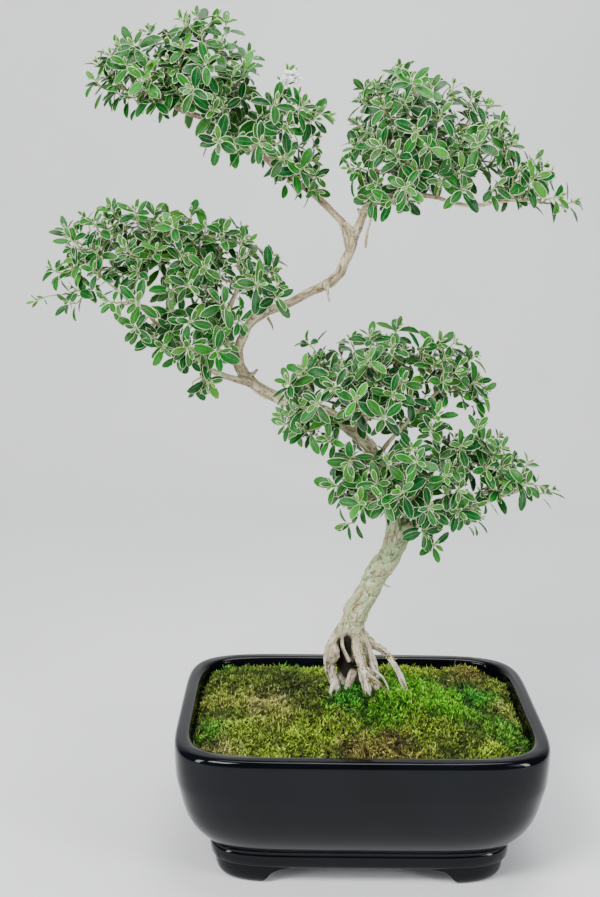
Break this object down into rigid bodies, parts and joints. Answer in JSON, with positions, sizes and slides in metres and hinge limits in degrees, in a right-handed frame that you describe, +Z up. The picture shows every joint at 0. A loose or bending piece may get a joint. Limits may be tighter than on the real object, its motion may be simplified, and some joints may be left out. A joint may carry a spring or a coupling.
{
  "type": "serissa bonsai",
  "caption": "Small flowering bonsai tree with an S-shaped trunk, exposed roots and variegated leaves, growing in moss in a glazed rectangular pot on feet.",
  "frame": {"origin": "middle of the whole object's footprint box, on the surface that the pot's feet stand on", "axes": "+Z up, +X to the right along the pot's long side, +Y to the back; the front is the side with the exposed roots and the open flower"},
  "size_m": [0.3926, 0.2, 0.6081],
  "materials": {
    "pot_glaze": "high-gloss black glaze",
    "bark": "pale, rough, flaking bark",
    "leaves": "satin green leaf with a cream margin",
    "petals": "soft white petal",
    "soil": "damp granular soil",
    "moss": "short green moss",
    "screen_plastic": "black plastic mesh",
    "wire": "dull aluminium wire"
  },
  "bodies": {
    "root": {"drain_screen_left": "screen_plastic", "drain_screen_right": "screen_plastic", "flower": "petals", "moss_back": "moss", "moss_bright": "moss", "moss_front": "moss", "moss_front_left": "moss", "moss_left": "moss", "moss_right_back": "moss", "moss_right_front": "moss", "pot": "pot_glaze", "screen_staple_left": "wire", "screen_staple_right": "wire", "soil": "soil", "spray_low_bottom_01": "leaves", "spray_low_bottom_02": "leaves", "spray_low_bottom_03": "leaves", "spray_low_bottom_04": "leaves", "spray_low_bottom_05": "leaves", "spray_low_bottom_06": "leaves", "spray_low_bottom_07": "leaves", "spray_low_bottom_08": "leaves", "spray_low_top_01": "leaves", "spray_low_top_02": "leaves", "spray_low_top_03": "leaves", "spray_low_top_04": "leaves", "spray_low_top_05": "leaves", "spray_low_top_06": "leaves", "spray_low_top_07": "leaves", "spray_mid_left_01": "leaves", "spray_mid_left_02": "leaves", "spray_mid_left_03": "leaves", "spray_mid_left_04": "leaves", "spray_mid_left_05": "leaves", "spray_mid_left_06": "leaves", "spray_mid_left_07": "leaves", "spray_mid_left_08": "leaves", "spray_mid_left_09": "leaves", "spray_mid_left_10": "leaves", "spray_upper_left_01": "leaves", "spray_upper_left_02": "leaves", "spray_upper_left_03": "leaves", "spray_upper_left_04": "leaves", "spray_upper_left_05": "leaves", "spray_upper_left_06": "leaves", "spray_upper_left_07": "leaves", "spray_upper_left_08": "leaves", "spray_upper_left_09": "leaves", "spray_upper_right_01": "leaves", "spray_upper_right_02": "leaves", "spray_upper_right_03": "leaves", "spray_upper_right_04": "leaves", "spray_upper_right_05": "leaves", "spray_upper_right_06": "leaves", "spray_upper_right_07": "leaves", "spray_upper_right_08": "leaves", "spray_upper_right_09": "leaves", "spray_upper_right_10": "leaves", "trunk_roots_and_branches": "bark"}
  },
  "joints": []
}
